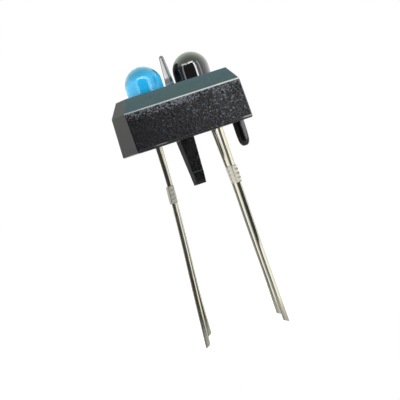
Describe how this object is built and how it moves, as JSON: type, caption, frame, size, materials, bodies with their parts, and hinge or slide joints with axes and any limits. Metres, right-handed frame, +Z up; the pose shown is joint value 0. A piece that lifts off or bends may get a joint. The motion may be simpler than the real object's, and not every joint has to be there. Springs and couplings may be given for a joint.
{
  "type": "reflective optical sensor",
  "caption": "Reflective optical sensor: blue infrared emitter and black phototransistor domes in a black snap-in housing with a light barrier and long wire leads.",
  "frame": {"origin": "centre of the housing's underside, the face that sits on the circuit board", "axes": "+Z up along both optical axes, from the leads toward the domes; +X from the emitter to the detector; +Y to the back, the side of the shorter leads"},
  "size_m": [0.0102, 0.0058, 0.0241],
  "materials": {
    "black_moulding": "fine spark-textured black moulding",
    "blue_epoxy": "polished see-through blue cast epoxy",
    "black_epoxy": "polished black cast epoxy that passes infrared only",
    "tinned_steel": "bright tin plate over steel, slightly yellowed",
    "die_silicon": "polished semiconductor die",
    "bond_gold": "fine gold wire"
  },
  "bodies": {
    "root": {"housing": "black_moulding", "emitter_lens": "blue_epoxy", "detector_lens": "black_epoxy", "emitter_cathode_lead": "tinned_steel", "emitter_anode_lead": "tinned_steel", "detector_collector_lead": "tinned_steel", "detector_emitter_lead": "tinned_steel", "emitter_chip": "die_silicon", "detector_chip": "die_silicon", "emitter_bond_wire": "bond_gold", "detector_bond_wire": "bond_gold"}
  },
  "joints": []
}
